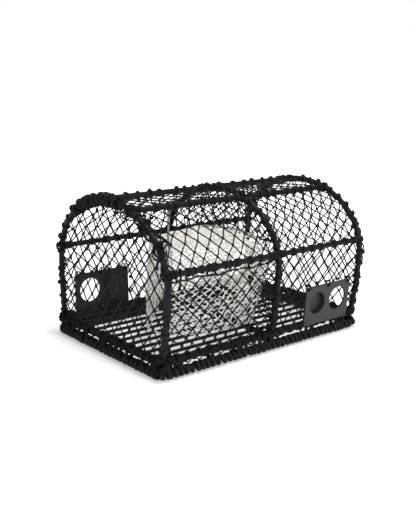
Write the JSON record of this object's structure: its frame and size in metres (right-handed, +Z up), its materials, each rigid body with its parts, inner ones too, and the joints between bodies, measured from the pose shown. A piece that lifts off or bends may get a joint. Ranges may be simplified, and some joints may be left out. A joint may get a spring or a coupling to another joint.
{
  "type": "lobster creel",
  "caption": "Arched netted creel with a rope-wound foot, net funnels, side vent plates and a drop-down net door.",
  "frame": {"origin": "centre of the footprint on the surface the creel stands on", "axes": "+X along the creel towards the entrance chamber, +Y from the door side to the back, +Z up"},
  "size_m": [0.6586, 0.4238, 0.3652],
  "materials": {
    "rod": "black rubber sleeving on steel rod",
    "rope": "twisted dark rope",
    "net": "braided black twine",
    "plate": "moulded dark grey plastic",
    "cream": "cream braided netting",
    "strap": "light grey webbing",
    "hook": "black moulded hook"
  },
  "bodies": {
    "creel": {"base_bar_back": "rod", "base_bar_front": "rod", "bumper_core_back": "rod", "bumper_core_front": "rod", "bumper_core_left": "rod", "bumper_core_right": "rod", "bumper_winding_back": "rope", "bumper_winding_front": "rope", "bumper_winding_left": "rope", "bumper_winding_right": "rope", "corner_lashing_back_left": "rope", "corner_lashing_back_right": "rope", "corner_lashing_front_left": "rope", "corner_lashing_front_right": "rope", "cross_bar_left": "rod", "cross_bar_middle": "rod", "cross_bar_right": "rod", "entrance_funnel": "cream", "entrance_ring": "cream", "floor_slat_01": "rod", "floor_slat_02": "rod", "floor_slat_03": "rod", "floor_slat_04": "rod", "floor_slat_05": "rod", "floor_slat_06": "rod", "floor_slat_07": "rod", "floor_slat_08": "rod", "floor_slat_09": "rod", "floor_slat_10": "rod", "floor_slat_11": "rod", "funnel_strap": "strap", "hoop_left": "rod", "hoop_middle": "rod", "hoop_right": "rod", "mid_bar_back_left": "rod", "mid_bar_back_right": "rod", "mid_bar_front_left": "rod", "mid_bar_front_right": "rod", "mouth_cord": "rope", "mouth_corner_rope": "rope", "net_back_lower_left": "net", "net_back_upper_left": "net", "net_back_upper_right": "net", "net_end_left": "net", "net_end_right": "net", "net_front_lower_right": "net", "net_front_upper_left": "net", "net_front_upper_right": "net", "net_partition": "net", "net_top_left": "net", "net_top_right": "net", "parlour_funnel": "cream", "top_bar_back_left": "rod", "top_bar_back_right": "rod", "top_bar_front_left": "rod", "top_bar_front_right": "rod", "vent_plate_back": "plate", "vent_plate_front": "plate"},
    "door": {"door_net": "net", "door_hook": "hook"}
  },
  "joints": [
    {"name": "door_swing", "type": "hinge", "parent": "creel", "child": "door", "pos_m": [-0.1459, -0.1905, 0.0384], "axis": [1, 0, 0], "range_deg": [0, 100]}
  ]
}
